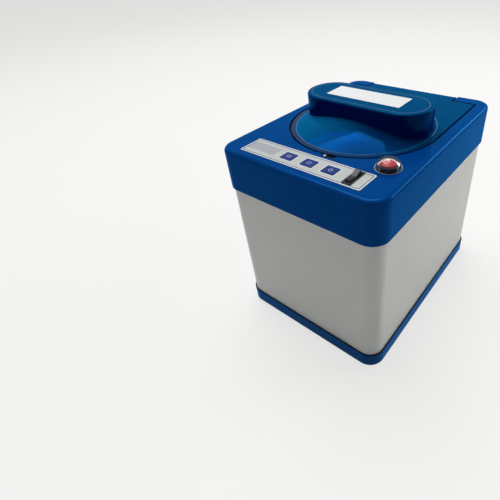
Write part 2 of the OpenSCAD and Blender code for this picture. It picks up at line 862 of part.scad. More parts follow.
module gear_plate_lower() color([0.25, 0.27, 0.3])
    difference() {
        union() {
            translate([0, pod_cy, low_plate_z])
                obround(pod_l - 2 * pod_wall - 0.6, pod_w - 2 * pod_wall - 0.6, 3);
            for (s = [-1, 1])
                rod(s * idler_x, pod_cy, low_plate_z + 1, gear_z + gear_w + 1, 2);
        }
        for (s = [-1, 1])
            rod(s * pad_x, pod_cy, low_plate_z - 1, low_plate_z + 4, pad_shaft_r + run_fit);
        for (x = [-48, 48], y = [-18, 18])
            rod(x, pod_cy + y, low_plate_z - 1, low_plate_z + 4, 1.8);
    }

module gear_plate_upper() color([0.25, 0.27, 0.3])
    difference() {
        union() {
            translate([-54, pod_cy - 24, up_plate_z])
                cube([108, 48, 2]);
            for (x = [-48, 48], y = [-18, 18])
                rod(x, pod_cy + y, low_plate_z + 3, up_plate_z + 1, 3);
        }
        for (s = [-1, 1])
            rod(s * pad_x, pod_cy, up_plate_z - 1, up_plate_z + 3, pad_shaft_r + run_fit);
        rod(0, pod_cy, up_plate_z - 1, up_plate_z + 3, 4);
        for (x = [-48, 48], y = [-18, 18])
            rod(x, pod_cy + y, low_plate_z, up_plate_z + 3, 1.8);
    }

module pad_motor() color([0.62, 0.63, 0.65])
    difference() {
        union() {
            rod(0, pod_cy, up_plate_z + 2, up_plate_z + 18, 18.5);
            rod(0, pod_cy, up_plate_z + 17, up_plate_z + 19.5, 6);
        }
        rod(0, pod_cy, up_plate_z + 1, up_plate_z + 8, 1.5 + run_fit);
    }

module lid_screws() color(steel)
    for (x = [-48, 48], y = [-18, 18])
        translate([x, pod_cy + y, low_plate_z]) {
            translate([0, 0, -2])
                cylinder(h = 2, r = 3);
            translate([0, 0, -0.5])
                cylinder(h = 24, r = 1.5);
        }

module lid_magnet() color(black)
    rod(20.5, -82.5, z_plate, z_plate + 1.9, 2.5);

function inv(a) = tan(a) - a * PI / 180;
function half_tooth(r, rp, n) =
    90 / n - 0.1 / rp * 180 / PI
    + (inv(20) - inv(acos(min(1, rp * cos(20) / r)))) * 180 / PI;
function flank(n, rp, rr) = let (b = max(rr, rp * cos(20))) half_tooth(b, rp, n);

// toothed wheel outline, first tooth turned by the phase angle
module teeth(n, phase) {
    rp = gear_m * n / 2;
    rr = rp - 1.2 * gear_m;
    rb = max(rr + 0.1, rp * cos(20));
    rt = rp + 0.92 * gear_m;
    polygon([for (k = [0:n - 1]) for (p = [
        [rr, -flank(n, rp, rr) - 0.6],
        [rb, -half_tooth(rb, rp, n)],
        [rp, -half_tooth(rp, rp, n)],
        [(rp + rt) / 2, -half_tooth((rp + rt) / 2, rp, n)],
        [rt, -half_tooth(rt, rp, n)],
        [rt, half_tooth(rt, rp, n)],
        [(rp + rt) / 2, half_tooth((rp + rt) / 2, rp, n)],
        [rp, half_tooth(rp, rp, n)],
        [rb, half_tooth(rb, rp, n)],
        [rr, flank(n, rp, rr) + 0.6]])
        let (a = phase + 360 / n * k + p[1]) [p[0] * cos(a), p[0] * sin(a)]]);
}

// spur gear at x on the pad train's line
module gear(x, n, phase, bore) {
    translate([x, pod_cy, gear_z])
        difference() {
            linear_extrude(height = gear_w)
                teeth(n, phase);
            translate([0, 0, -1])
                cylinder(h = gear_w + 2, r = bore);
        }
}

module motor_pinion() color(steel) {
    gear(0, pinion_n, 0, 1.2);
    rod(0, pod_cy, gear_z, up_plate_z + 7.5, 1.5);
}

module idler_left() color([0.88, 0.87, 0.82])
    gear(-idler_x, idler_n, 180 / idler_n, 2 + run_fit);

module idler_right() color([0.88, 0.87, 0.82])
    gear(idler_x, idler_n, 180 / idler_n, 2 + run_fit);

module pad_gear_left() color([0.88, 0.87, 0.82])
    gear(-pad_x, pad_n, 0, pad_shaft_r + seat_fit);

module pad_gear_right() color([0.88, 0.87, 0.82])
    gear(pad_x, pad_n, 0, pad_shaft_r + seat_fit);

// pad shaft with its holder plate
module pad_shaft(x) {
    rod(x, pod_cy, holder_z, holder_z + 3, pad_r - 1);
    rod(x, pod_cy, holder_z, holder_z + 8.5, 6);
    rod(x, pod_cy, holder_z, up_plate_z + 1.5, pad_shaft_r);
}

module pad_shaft_left() color(steel)
    pad_shaft(-pad_x);

module pad_shaft_right() color(steel)
    pad_shaft(pad_x);

module polishing_pad_left() color([0.9, 0.88, 0.8])
    rod(-pad_x, pod_cy, pad_bot, holder_z, pad_r);

module polishing_pad_right() color([0.9, 0.88, 0.8])
    rod(pad_x, pod_cy, pad_bot, holder_z, pad_r);

module turntable() color([0.08, 0.3, 0.62])
    difference() {
        union() {
            rod(0, lid_cy, mat_top - 5, mat_top - 1, platter_r);
            rod(0, lid_cy, mat_top - 22, mat_top - 4, 10);
            rod(0, lid_cy, mat_top - 5, mat_top + hub_l, hub_r);
            difference() {
                rod(0, lid_cy, mat_top - 13, mat_top - 4, 21);
                rod(0, lid_cy, mat_top - 14, mat_top - 5, 19);
            }
        }
        rod(0, lid_cy, mat_top - 23, mat_top - 2, bearing_bore_r);
    }

module platter_mat() color(black)
    difference() {
        rod(0, lid_cy, mat_top - 1, mat_top, platter_r - 0.5);
        rod(0, lid_cy, mat_top - 2, mat_top + 1, hub_r + 2);
    }

module spindle_shaft() color(steel)
    rod(0, lid_cy, belt_z - 4, mat_top - 2.2, spindle_r);

// flanged belt wheel with its groove just clear of the belt
module pulley(y, r, bore) {
    difference() {
        union() {
            rod(0, y, belt_z - 2, belt_z + 8, r - belt_t / 2 - 0.3);
            rod(0, y, belt_z - 2, belt_z - 0.5, r + 2);
            rod(0, y, belt_z + 6.5, belt_z + 8, r + 2);
        }
        rod(0, y, belt_z - 3, belt_z + 9, bore);
    }
}

module driven_pulley() color([0.3, 0.31, 0.33])
    pulley(lid_cy, pulley_r, bearing_bore_r);

module motor_pulley() color([0.3, 0.31, 0.33]) {
    pulley(motor_y, motor_pulley_r, 2);
    rod(0, motor_y, belt_z - 2, deck_top + 8.5, 2.5);
}

base_tray();
rubber_feet();
tie_screws();
case_sleeve();
top_cover();
chassis_plate();
chassis_pillars();
splash_bowl();
lid_seal();
spindle_housing();
spindle_bearings();
disc_motor();
panel_screws();
drive_belt();
water_tank();
water_pump();
water_tubes();
spray_nozzle();
power_supply();
mains_inlet();
inlet_pins();
fan_frame();
fan_rotor();
control_board();
display_module();
display_window();
panel_overlay();
tact_switches();
key_left();
key_middle();
key_right();
switch_frame();
power_rocker();
start_switch();
start_button();
start_boot();
lid_catch();
hinge_pin();
lid_shell();
lid_label();
gear_plate_lower();
gear_plate_upper();
pad_motor();
lid_screws();
lid_magnet();
motor_pinion();
idler_left();
idler_right();
pad_gear_left();
pad_gear_right();
pad_shaft_left();
pad_shaft_right();
polishing_pad_left();
polishing_pad_right();
turntable();
platter_mat();
spindle_shaft();
driven_pulley();
motor_pulley();
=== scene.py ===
"""Finishes, printed panel marks, light and camera of the disc repair machine."""
import math
from collections import namedtuple
from types import SimpleNamespace

import bmesh
import bpy
from mathutils import Matrix, Vector


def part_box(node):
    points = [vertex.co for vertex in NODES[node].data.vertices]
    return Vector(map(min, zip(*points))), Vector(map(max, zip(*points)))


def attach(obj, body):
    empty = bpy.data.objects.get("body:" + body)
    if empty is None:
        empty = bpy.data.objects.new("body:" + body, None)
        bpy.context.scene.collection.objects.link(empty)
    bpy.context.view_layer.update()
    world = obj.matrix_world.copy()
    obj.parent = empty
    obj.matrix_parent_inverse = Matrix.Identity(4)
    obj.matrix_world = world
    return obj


bl_info = {
    "name": "Disc repair machine",
    "version": (1, 0, 0),
    "blender": (4, 5, 0),
    "location": "View3D > Sidebar > Disc machine",
    "description": "Builds the finishes, marks, light and camera of a disc repair machine",
    "category": "Object",
}

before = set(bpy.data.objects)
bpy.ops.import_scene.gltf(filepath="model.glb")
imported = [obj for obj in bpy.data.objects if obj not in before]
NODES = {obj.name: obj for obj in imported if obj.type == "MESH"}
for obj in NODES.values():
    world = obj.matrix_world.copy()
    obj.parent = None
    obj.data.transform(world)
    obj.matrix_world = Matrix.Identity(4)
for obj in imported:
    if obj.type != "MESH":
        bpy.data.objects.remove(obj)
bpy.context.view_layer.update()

# One millimetre in Blender's metres. Plans and heights below are in millimetres.
MM = 0.001

# The lid, its seat and the keys, as in the part
LID_Y = 2.0  # middle of the lid's round front, where the turntable's axis is
DOME_R = 86.0  # foot of the dome
POD_Y = 6.4  # middle of the gear housing
POD_W = 169.0  # gear housing from left to right
POD_D = 67.0  # gear housing from front to back
SEAT_GAP = 2.5  # gap between the lid and the cover
SEAT_BACK = 127.0  # end of the seat's straight sides
SEAT_DOWN = 4.5  # depth of the seat below the cover's top
KEY_FLANGE = 1.3  # a key's hidden flange, under the film

# Which faces of a node get a second finish; on the tray's lip, the seat's wall and the gear
# housing's wall it is painted shade
LOOKS_UP = 0.7  # least upward part of the normal of a face that looks up
# the tray's lip under the sleeve and the seat's wall are painted dark as shade
LIP_DEEP = 3.0  # the tray's lip lies less than this under the tray's top
SEAT_WALL_TOP = 1.0  # the seat's wall starts and ends this far under the cover's top
SEAT_WALL_FOOT = 10.0
SEAT_WALL_TILT = 0.5  # most upward part of the normal of the seat's wall
SEAT_WALL_IN = 2.0  # the seat's wall lies no further than this inside the lid's edge
SEAT_WALL_OUT = 0.4  # and no further than this outside the seat's edge
# the gear housing's wall is painted darker than its top, as painted shade
POD_WALL_FOOT = 1.0  # the gear housing's wall starts this far above the cover's top
POD_WALL_TILT = 0.6  # most upward part of the normal of the gear housing's wall
POD_WALL_OUT = 0.5  # its wall lies no further than this outside the housing's plan
POD_WALL_IN = 6.0  # and no further than this inside it
DOME_UP = 17.0  # the dome lies less than this above the cover's top

# Painted shades, painted highlight lines and other lines and rings: how far they reach and how
# thick they are
SEAT_SHADE_IN = 0.1  # the seat's painted shade keeps this far inside the seat's edge
SEAT_SHADE_UNDER = 0.6  # and reaches this far under the lid's edge
SEAT_SHADE_BACK = 2.0  # and ends this far before the seat does
LIFT = 0.01  # the lines on the lid's flat part lie this far above it
SEAT_SHADE_UP = 0.05
DOME_HIGHLIGHT_UP = 0.1
RIM_UP = 0.03
POD_LINE_UP = 0.02
COLLAR_UP = 0.06
BOOT_RIM_HIGHLIGHT_UP = 0.12
DOME_SIDES = 96  # sides of the circles round the dome

# Blues that follow another one
TRAY_SHARE = 0.62  # the tray's blue as a share of the cover's
POD_LINE_SHARE = 1.5  # the blue of the line on the gear housing as a share of the lid's
DOME_SHADE_FROM = -45.0  # the dome's painted shade grows between these two places, left to right
DOME_SHADE_TO = 30.0

# The camera: its lens and centre in pixels of the 500 x 500 picture, its place in millimetres
PICTURE = 500
FOCAL = 377.91
CENTRE_X = 324.37
CENTRE_Y = 204.74
HALF_PIXEL = 0.5
SENSOR = 36.0
CAMERA_AT = (240.8, -376.2, 442.4)
CAMERA_RIGHT = (0.790853, 0.609489, -0.055451)
CAMERA_DOWN = (0.316090, -0.484366, -0.815767)
CAMERA_AHEAD = (-0.524060, 0.627624, -0.575716)

# The studio, in metres and watts
Lamp = namedtuple("Lamp", "name at aim size watts tint")
LAMPS = (
    Lamp("top", (-0.7, 0.5, 2.4), (0, 0, 0.2), (1.7, 1.7), 54.0, (1, 1, 1)),
    Lamp("right", (0.95, 1.30, 0.75), (0, 0, 0.15), (1.0, 0.6), 11.0, (1, 0.99, 0.97)),
    Lamp("front", (-0.7, -1.8, 0.8), (0, 0, 0.15), (0.9, 0.9), 1.6, (1, 1, 1)),
)
FLOOR_HALF = 25.0
SEEN_FROM = 0.01  # nearest and farthest that the camera sees
SEEN_TO = 20.0
PAPER_DARK = (0.80, 0.795, 0.785)
PAPER_LIGHT = (0.83, 0.825, 0.815)
PAPER_GLOW = (1.0, 0.993, 0.98)
GLOW_SHARE = 0.71  # share of the glow in what the camera sees of the floor
BACKDROP = (0.80, 0.795, 0.785)
FILL = (0.95, 0.97, 1.0)
FILL_LEVEL = 0.10


def colour(value, name, text):
    """A colour that a user can change, linear."""
    return bpy.props.FloatVectorProperty(
        name=name, description=text, subtype="COLOR", size=3, min=0.0, max=1.0, default=value)


def length(value, name, text):
    """A length that a user can change, given in millimetres and kept in metres."""
    return bpy.props.FloatProperty(
        name=name, description=text, unit="LENGTH", min=0.0, precision=5, default=value * MM)


class DiscFinish(bpy.types.PropertyGroup):
    """Colours of the surfaces and of their gloss, linear"""
    case: colour((0.0002, 0.0440, 0.2150), "Case blue", "Top cover, and darker on the tray")
    case_gloss: colour((0.04, 0.30, 0.80), "Case gloss", "What the top cover reflects")
    tray_gloss: colour((0.10, 0.40, 1.00), "Tray gloss", "What the base tray reflects")
    sleeve: colour((0.700, 0.720, 0.690), "Sleeve grey", "Painted metal sleeve")
    # painted shade: the seat's walls, a sheet on its ledge and the tray's lip are painted dark
    # where shade falls
    painted_seat_shade: colour((0.0002, 0.0030, 0.0140), "Groove", "Shaded walls and ledge of the lid's seat")
    rubber: colour((0.018, 0.018, 0.019), "Rubber", "Feet, lid seal and drive belt")
    lid: colour((0.0004, 0.0560, 0.1650), "Lid blue", "Flat parts of the lid")
    lid_gloss: colour((0.03, 0.36, 0.85), "Lid gloss", "What the lid reflects")
    tint: colour((0.03, 0.46, 0.88), "Lid tint", "Light that passes through the lid")
    # painted light and shade: the dome is painted lighter on its left and darker on its right,
    # towards the gear housing
    dome: colour((0.0020, 0.3200, 0.8000), "Dome, left", "Dome's own colour on its left side")
    dome_painted_shade: colour((0.0004, 0.0700, 0.2400), "Dome, right", "Dome's own colour on its right side")
    # painted shade: the gear housing's wall is darker than its top because of how light falls
    pod_wall_painted_shade: colour((0.0002, 0.0090, 0.1000), "Gear housing side", "Wall of the gear housing")
    # painted shade: a dark sheet on the lid's front rim, the same moulding as the rest of the lid
    rim: colour((0.0004, 0.0280, 0.1050), "Lid rim", "Front rim outside the dome")
    # painted highlight: a light ring where the dome's foot catches the light
    line: colour((0.0100, 0.1500, 0.3500), "Dome line", "Bright line round the dome's foot")
    label: colour((0.78, 0.80, 0.81), "Label", "Bare label on the gear housing")
    gear_plate: colour((0.0015, 0.0020, 0.0040), "Gear plates", "Plates, lid magnet and catch")
    acetal: colour((0.60, 0.58, 0.50), "Gears", "Moulded gears in the lid")
    foam: colour((0.72, 0.68, 0.55), "Polishing foam", "The two polishing pads")
    bowl: colour((0.0010, 0.2100, 0.8200), "Bowl blue", "Splash bowl and turntable")
    mat: colour((0.0020, 0.1700, 0.6400), "Mat blue", "Rubber mat of the turntable")
    zinc: colour((0.55, 0.56, 0.57), "Zinc", "Chassis, supply case and spindle housing")
    steel: colour((0.60, 0.60, 0.60), "Steel", "Screws, pillars, shafts and pins")
    motor: colour((0.34, 0.35, 0.36), "Motor can", "The disc motor and the pad motor")
    tank: colour((0.70, 0.73, 0.72), "Water tank", "Natural plastic of the tank")
    dark: colour((0.020, 0.021, 0.023), "Dark plastic", "Pump, pulleys and display module")
    hose: colour((0.60, 0.66, 0.68), "Hose", "Body of the water tubes")
    hose_tint: colour((0.92, 0.96, 0.97), "Hose tint", "Light that passes through the tubes")
    board: colour((0.008, 0.100, 0.035), "Circuit board", "Solder mask")
    inlet: colour((0.016, 0.016, 0.018), "Inlet black", "Mains inlet, fan frame and rotor")
    brass: colour((0.62, 0.56, 0.38), "Brass", "Pins of the mains inlet")
    panel: colour((0.470, 0.510, 0.490), "Panel film", "Film of the control panel")
    white: colour((0.78, 0.79, 0.79), "Print white", "White border and key outlines")
    navy: colour((0.0020, 0.0260, 0.1900), "Key navy", "Keys and the navy border")
    mark: colour((0.3000, 0.3600, 0.5400), "Key mark", "Marks on the keys")
    display: colour((0.36, 0.37, 0.43), "Display", "Display window, switched off")
    switch: colour((0.006, 0.006, 0.007), "Switch black", "Power switch's frame, small switches")
    rocker: colour((0.012, 0.014, 0.016), "Rocker", "Power rocker")
    button: colour((0.620, 0.0080, 0.0200), "Start red", "Cap of the start button")
    boot: colour((0.60, 0.64, 0.66), "Boot", "Body of the clear boot")
    boot_tint: colour((0.985, 0.990, 0.995), "Boot tint", "Light that passes through the boot")
    # painted highlight: an opaque light ring for the lit clear rim of the boot
    boot_edge: colour((0.34, 0.42, 0.47), "Boot rim", "Rim where the boot meets the cover")
    collar: colour((0.004, 0.004, 0.005), "Collar", "Dark collar under the clear boot")


class DiscSize(bpy.types.PropertyGroup):
    """Sizes of the printed marks, and of the lines and rings, some of them painted highlight or
    shade
    """
    border_out: length(0.15, "Border margin", "Bare film outside the white border")
    border_in: length(2.4, "Border inset", "Film's edge to the inside of the navy border")
    border_w: length(1.0, "Border width", "Width of the navy border with its gap")
    border_gap: length(0.05, "Border gap", "Bare film between the white and the navy border")
    border_corner: length(1.0, "Border corner", "Corner radius where white and navy meet")
    border_corner_out: length(1.4, "Outer border corner", "Corner radius of the white border")
    border_corner_in: length(0.6, "Inner border corner", "Corner radius inside the navy border")
    outline_w: length(0.8, "Key outline", "Width of the white line round a key")
    outline_up: length(0.048, "Outline thickness", "Thickness of the white line round a key")
    edge_up: length(0.06, "Edge thickness", "Thickness of the navy edge round a key")
    key_gap: length(1.1, "Key edge", "Navy edge round a key, both sides together")
    key_clear: length(0.7, "Key clearance", "Gap round a key, both sides together")
    key_corner: length(1.7, "Key corner", "Corner radius of the navy edge")
    key_hole_corner: length(3.35, "Key hole corner", "Corner radius of the gap round a key")
    mark_w: length(0.7, "Mark line", "Line width of the key marks")
    mark_up: length(0.04, "Print thickness", "Thickness of the borders and key marks")
    mark_corner: length(0.3, "Mark corner", "Corner radius of the marks' lines")
    bar_l: length(6.0, "Bar length", "Length of the three bars")
    bar_step: length(1.7, "Bar step", "Distance between the three bars")
    square_w: length(4.6, "Square", "Width of the square mark")
    square_corner: length(0.5, "Square corner", "Outer corner radius of the square mark")
    ring_r: length(2.6, "Ring", "Outer radius of the ring mark")
    hand_l: length(1.8, "Hand length", "Length of the line in the ring mark")
    hand_up: length(0.8, "Hand place", "Middle of the line above the ring's middle")
    # the line round the dome is a painted highlight
    dome_line_in: length(0.3, "Dome line place", "Gap between the dome and the line round it")
    dome_line_w: length(0.8, "Dome line width", "Width of the line round the dome")
    # the rim's dark sheet is painted shade
    rim_in: length(1.6, "Rim place", "Gap between the dome and the shaded rim")
    rim_out: length(0.4, "Rim margin", "Gap between the shaded rim and the lid's edge")
    pod_line_in: length(5.5, "Housing line place", "Housing's edge to the line on its top")
    pod_line_w: length(0.7, "Housing line width", "Width of the line on the housing's top")
    collar_in: length(9.4, "Collar hole", "Inner radius of the dark collar")
    collar_gap: length(0.5, "Collar gap", "Gap between the dark collar and the boot's rim")
    # the boot's rim is a painted highlight
    boot_rim_w: length(0.7, "Boot rim", "Width of the rim inside the boot's foot")
    boot_rim_out: length(0.25, "Boot rim margin", "How far the rim stands out past the foot")
    rib_pitch: length(2.4, "Mat ribs", "Distance between the mat's rings")


def finish_of():
    """The colours of the scene."""
    return bpy.context.scene.disc_finish


def sizes_of():
    """The sizes of the scene, in millimetres."""
    group = bpy.context.scene.disc_size
    return SimpleNamespace(**{key: getattr(group, key) / MM for key in DiscSize.__annotations__})


def rgba(tone):
    """A colour with its alpha."""
    return (*tone, 1)


def shade(tone, share):
    """A colour made darker or lighter, no channel over 1."""
    return tuple(min(1.0, channel * share) for channel in tone)


def put(tree, kind, inputs=None, **settings):
    """Adds a node. An input given as a socket is linked, any other is set to its value."""
    node = tree.nodes.new(kind)
    for key, value in settings.items():
        setattr(node, key, value)
    for key, value in (inputs or {}).items():
        if isinstance(value, bpy.types.NodeSocket):
            tree.links.new(value, node.inputs[key])
        else:
            node.inputs[key].default_value = value
    return node


class Finish:
    """One material's node tree, on Object coordinates, with the textures used here."""

    def __init__(self, name):
        self.material = bpy.data.materials.new(name)
        self.material.use_nodes = True
        self.tree = self.material.node_tree
        self.tree.nodes.clear()
        self.place = self.add("ShaderNodeTexCoord").outputs["Object"]

    def add(self, kind, inputs=None, **settings):
        """Adds a node to this material."""
        return put(self.tree, kind, inputs, **settings)

    def noise(self, scale, detail=3.0, stretch=(1, 1, 1), rough=0.5):
        """Soft noise, scale in cells a metre."""
        place = self.place
        if stretch != (1, 1, 1):
            place = self.add("ShaderNodeMapping",
                             {"Vector": place, "Scale": stretch}).outputs["Vector"]
        noise = self.add("ShaderNodeTexNoise",
                         {"Vector": place, "Scale": scale, "Detail": detail, "Roughness": rough})
        return noise.outputs["Fac"]

    def ramp(self, value, low, high, start=0.2, end=0.8):
        """Turns a value from start to end into one from low to high."""
        ramp = self.add("ShaderNodeMapRange", {"Value": value, "From Min": start, "From Max": end,
                                               "To Min": low, "To Max": high})
        return ramp.outputs["Result"]

    def mix(self, share, first, second):
        """Blends two colours, the first one a colour or a socket."""
        if not isinstance(first, bpy.types.NodeSocket):
            first = rgba(first)
        blend = self.add("ShaderNodeMix", {"Factor": share, "A": first, "B": rgba(second)},
                         data_type="RGBA")
        return blend.outputs["Result"]

    def bump(self, height, strength, depth):
        """A normal from a height, depth in metres."""
        bump = self.add("ShaderNodeBump",
                        {"Height": height, "Strength": strength, "Distance": depth})
        return bump.outputs["Normal"]

    def layer(self, share, below, above):
        """Lays one shader over another."""
        mixed = self.add("ShaderNodeMixShader", {"Fac": share, 1: below, 2: above})
        return mixed.outputs["Shader"]

    def done(self, shader):
        """Sends a shader to the surface and returns the material."""
        self.add("ShaderNodeOutputMaterial", {"Surface": shader})
        return self.material


def plastic(name, base, rough=0.35, metal=0.0, vary=0.07, scale=60.0, grain=1500.0,
            bump=0.15, depth=0.00004, coat=0.0, coat_rough=0.1, stretch=(1, 1, 1), spec=0.5,
            gloss=(1, 1, 1)):
    """A moulded, painted or metal surface with fine texture and slight unevenness."""
    smear = 0.03
    smear_share = 0.35
    m = Finish(name)
    cloud = m.ramp(m.noise(scale, detail=4.0, stretch=stretch), 0, 1)
    smears = m.noise(scale * smear_share, detail=5.0, stretch=stretch, rough=0.6)
    fine = m.noise(grain, detail=2.0, stretch=stretch)
    surface = m.add("ShaderNodeBsdfPrincipled", {
        "Base Color": m.mix(cloud, shade(base, 1 - vary), shade(base, 1 + vary)),
        "Roughness": m.ramp(smears, rough - smear, rough + smear),
        "Normal": m.bump(fine, bump, depth),
        "Metallic": metal,
        "Specular IOR Level": spec,
        "Specular Tint": rgba(gloss),
        "Coat Weight": coat,
        "Coat Roughness": coat_rough,
    })
    return m.done(surface.outputs["BSDF"])


def glossed(name, base, tint=None, body=1.0, rough=0.06, ior=1.49, gloss=(1, 1, 1),
            grain=700.0, bump=0.05, fade=None):
    """Coloured plastic under a coloured gloss. With a tint it is see-through, and body is the
    share that isn't. fade is (colour, x0, x1): the body turns from base to that colour between
    two places in millimetres."""
    smear = 0.05
    cloud_scale = 45.0
    smear_scale = 22.0
    grain_depth = 0.00003
    m = Finish(name)
    cloud = m.ramp(m.noise(cloud_scale), 0, 1)
    tone = m.mix(cloud, shade(base, 0.92), shade(base, 1.08))
    # fade paints shade: the body turns darker across the part
    if fade:
        far, start, end = fade
        apart = m.add("ShaderNodeSeparateXYZ", {"Vector": m.place})
        tone = m.mix(m.ramp(apart.outputs["X"], 0, 1, start * MM, end * MM), tone, far)
    normal = m.bump(m.noise(grain, detail=2.0), bump, grain_depth)
    under = m.add("ShaderNodeBsdfDiffuse", {"Color": tone, "Normal": normal}).outputs["BSDF"]
    if tint:
        through = m.mix(cloud, shade(tint, 0.94), shade(tint, 1.04))
        clear = m.add("ShaderNodeBsdfTransparent", {"Color": through})
        under = m.layer(body, clear.outputs["BSDF"], under)
    smears = m.noise(smear_scale, detail=5.0, rough=0.6)
    shine = m.add("ShaderNodeBsdfGlossy", {
        "Color": rgba(gloss), "Roughness": m.ramp(smears, rough, rough + smear),
        "Normal": normal})
    edge = m.add("ShaderNodeFresnel", {"IOR": ior, "Normal": normal})
    return m.done(m.layer(edge.outputs["Fac"], under, shine.outputs["BSDF"]))


def foam(name, base):
    """Polishing foam: open cells with a soft felt face."""
    m = Finish(name)
    cells = m.add("ShaderNodeTexVoronoi", {"Vector": m.place, "Scale": 900.0})
    wall = cells.outputs["Distance"]
    surface = m.add("ShaderNodeBsdfPrincipled", {
        "Base Color": m.mix(m.ramp(wall, 0, 1, 0.0, 0.6), shade(base, 0.72), base),
        "Normal": m.bump(wall, 0.6, 0.0003),
        "Roughness": 0.95,
        "Sheen Weight": 0.3,
    })
    return m.done(surface.outputs["BSDF"])


def ribbed(name, base, pitch):
    """Rubber mat with fine rings about the turntable's axis, pitch in millimetres."""
    m = Finish(name)
    flat = m.add("ShaderNodeMapping", {
        "Vector": m.place, "Location": (0, -LID_Y * MM, 0), "Scale": (1, 1, 0)})
    radius = m.add("ShaderNodeVectorMath", {0: flat.outputs["Vector"]}, operation="LENGTH")
    turns = m.add("ShaderNodeMath",
                  {0: radius.outputs["Value"], 1: 2 * math.pi / (pitch * MM)},
                  operation="MULTIPLY")
    wave = m.add("ShaderNodeMath", {0: turns.outputs["Value"]}, operation="SINE")
    rib = wave.outputs["Value"]
    surface = m.add("ShaderNodeBsdfPrincipled", {
        "Base Color": m.mix(m.ramp(rib, 0, 1, -1, 1), shade(base, 0.80), shade(base, 1.08)),
        "Normal": m.bump(rib, 0.5, 0.0002),
        "Roughness": 0.6,
        "Specular IOR Level": 0.15,
    })
    return m.done(surface.outputs["BSDF"])


def dress(nodes, material):
    """Gives the CAD nodes named, with spaces between, one finish all over."""
    for name in nodes.split():
        mesh = NODES[name].data
        mesh.materials.clear()
        mesh.materials.append(material)
        mesh.polygons.foreach_set("material_index", [0] * len(mesh.polygons))


def dress_part(node, material, inside):
    """Adds one more finish to a CAD node, on the faces that inside(centre, normal) picks."""
    mesh = NODES[node].data
    mesh.materials.append(material)
    slot = len(mesh.materials) - 1
    for face in mesh.polygons:
        if inside(face.center / MM, face.normal):
            face.material_index = slot


def highest(node):
    """The height of a CAD node's top, millimetres."""
    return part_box(node)[1].z / MM


def plan(node):
    """The middle x and y, the width and the depth of a CAD node, millimetres."""
    low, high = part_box(node)
    middle, size = (low + high) / 2 / MM, (high - low) / MM
    return middle.x, middle.y, size.x, size.y


def flat_piece(name, shapes, z, up, material, body):
    """A thin flat shape at height z, up thick, millimetres: print, or a sheet of painted light or
    shade.
    Each entry of shapes is a function that draws an outline, with its values; two outlines make a
    ring."""
    bm = bmesh.new()
    for draw, *values in shapes:
        draw(bm, *values)
    if len(shapes) == 2:
        bmesh.ops.delete(bm, geom=bm.faces[:], context="FACES_ONLY")
        bmesh.ops.bridge_loops(bm, edges=bm.edges[:])
    grown = bmesh.ops.extrude_face_region(bm, geom=bm.faces[:])
    sort_faces(bm)
    raised = [v for v in grown["geom"] if isinstance(v, bmesh.types.BMVert)]
    bmesh.ops.translate(bm, verts=raised, vec=(0, 0, up))
    bmesh.ops.translate(bm, verts=bm.verts[:], vec=(0, 0, z))
    bmesh.ops.scale(bm, verts=bm.verts[:], vec=(MM, MM, MM))
    bmesh.ops.recalc_face_normals(bm, faces=bm.faces[:])
    piece = to_object(name, bm)
    piece.data.materials.append(material)
    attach(piece, body)


def sort_faces(bm):
    """Puts the faces in the same order each run, because an extrusion leaves them in any."""
    corners = 4
    bm.verts.index_update()
    count = len(bm.verts)

    def rank(face):
        place = 0
        for index in sorted(v.index for v in face.verts)[:corners]:
            place = place * count + index
        return place

    bm.faces.sort(key=rank)


def to_object(name, bm):
    """Turns a bmesh into an object of the scene."""
    mesh = bpy.data.meshes.new(name)
    bm.to_mesh(mesh)
    bm.free()
    piece = bpy.data.objects.new(name, mesh)
    bpy.context.scene.collection.objects.link(piece)
    return piece


def rounded(bm, x, y, w, d, r, n=8):
    """Draws a rectangle with rounded corners, n steps a corner."""
    place = Matrix.Translation((x, y, 0)) @ Matrix.Diagonal((w, d, 1, 1))
    square = bmesh.ops.create_grid(bm, x_segments=1, y_segments=1, size=0.5, matrix=place)
    bmesh.ops.bevel(bm, geom=square["verts"], offset=r, affect="VERTICES", segments=n,
                    profile=0.5, material=-1)


def circle(bm, x, y, r, n=40):
    """Draws a circle of n sides."""
    bmesh.ops.create_circle(bm, cap_ends=True, segments=n, radius=r,
                            matrix=Matrix.Translation((x, y, 0)))


def pod_outline(bm, inset):
    """Draws the gear housing's outline, drawn in by inset. Its ends are a hair less than half
    circles, so that no two of their points meet."""
    hair = 0.01
    steps = 24
    rounded(bm, 0, POD_Y, POD_W - 2 * inset, POD_D - 2 * inset, POD_D / 2 - inset - hair, steps)


def sweep(bm, edge, angle, steps):
    """Turns an edge about the lid's middle and returns the edge where it ends."""
    turned = bmesh.ops.spin(bm, geom=[*edge.verts, edge], cent=(0, LID_Y, 0), axis=(0, 0, 1),
                            angle=angle, steps=steps)
    return next(e for e in turned["geom_last"] if isinstance(e, bmesh.types.BMEdge))


def slide(bm, edge, far):
    """Draws an edge out by far along Y and returns the edge where it ends."""
    grown = bmesh.ops.extrude_edge_only(bm, edges=[edge])["geom"]
    moved = [v for v in grown if isinstance(v, bmesh.types.BMVert)]
    bmesh.ops.translate(bm, verts=moved, vec=(0, far, 0))
    return bm.edges.get(moved)


def seat_strip(bm, outer, inner):
    """Draws a strip along the lid's seat: a straight side, the half circle in front and the
    other side, between two half widths."""
    steps = 48
    back = SEAT_BACK - SEAT_SHADE_BACK
    ends = [bm.verts.new((-r, back, 0)) for r in (outer, inner)]
    edge = slide(bm, bm.edges.new(ends), LID_Y - back)
    slide(bm, sweep(bm, edge, math.pi, steps), back - LID_Y)


